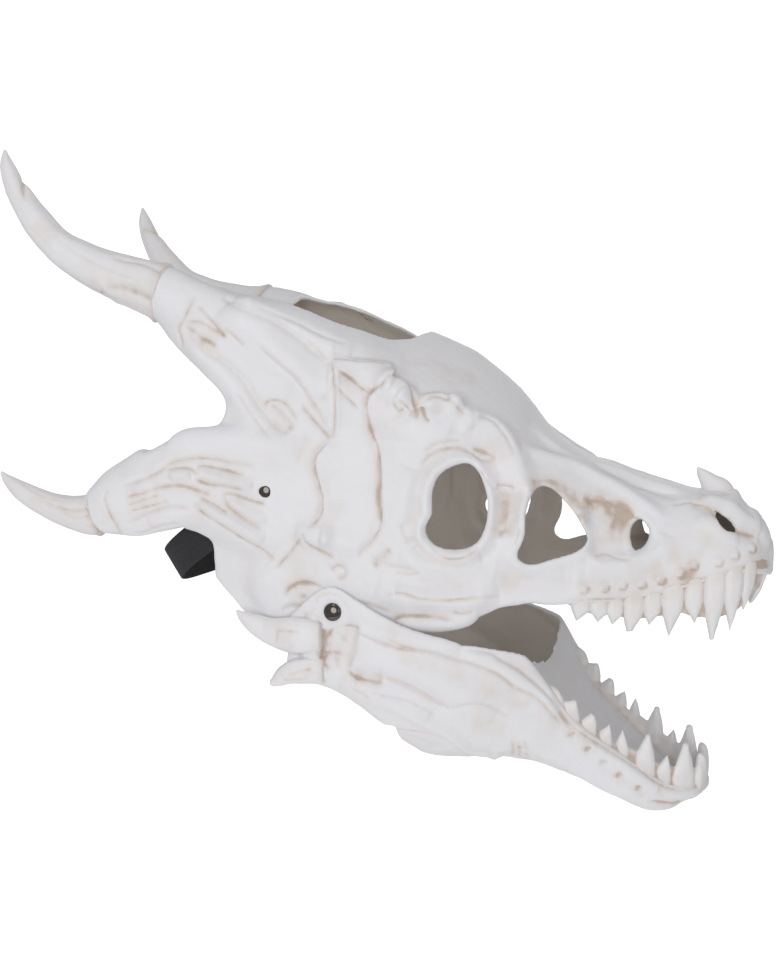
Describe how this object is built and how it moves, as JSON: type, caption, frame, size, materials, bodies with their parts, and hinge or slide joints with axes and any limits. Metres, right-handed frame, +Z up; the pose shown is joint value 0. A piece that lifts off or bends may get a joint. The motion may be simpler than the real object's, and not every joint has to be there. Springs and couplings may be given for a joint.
{
  "type": "dragon skull mask with moving jaw",
  "caption": "Hollow dragon skull mask with hinged lower jaw, horns, tooth rows, domed rivets and an elastic head strap.",
  "frame": {"origin": "mid-plane point on the line through the two strap rivets, where the wearer's head goes in", "axes": "+X out along the snout, +Y to the wearer's left, +Z up"},
  "size_m": [0.5418, 0.2648, 0.4722],
  "materials": {
    "bone": "moulded bone-white shell, matt, with a faint tan wash in its grooves",
    "horn": "moulded bone-white horn, matt, faint lengthwise grain",
    "teeth": "moulded ivory-white teeth, slight sheen",
    "rivet": "polished dark nickel domed cap",
    "strap": "black ribbed woven elastic"
  },
  "bodies": {
    "skull": {"skull_shell": "bone", "upper_horn_right": "horn", "upper_horn_left": "horn", "cheek_horn_right": "horn", "cheek_horn_left": "horn", "nose_horn": "horn", "upper_teeth": "teeth", "pivot_rivet_right": "rivet", "pivot_rivet_left": "rivet", "strap_rivet_right": "rivet", "strap_rivet_left": "rivet", "strap": "strap"},
    "jaw": {"jaw_shell": "bone", "lower_teeth": "teeth", "jaw_spur_upper_right": "horn", "jaw_spur_upper_left": "horn", "jaw_spur_lower_right": "horn", "jaw_spur_lower_left": "horn"}
  },
  "joints": [
    {"name": "jaw_hinge", "type": "hinge", "parent": "skull", "child": "jaw", "pos_m": [0.0501, 0, -0.0814], "axis": [0, -1, 0], "range_deg": [0, 16]}
  ]
}
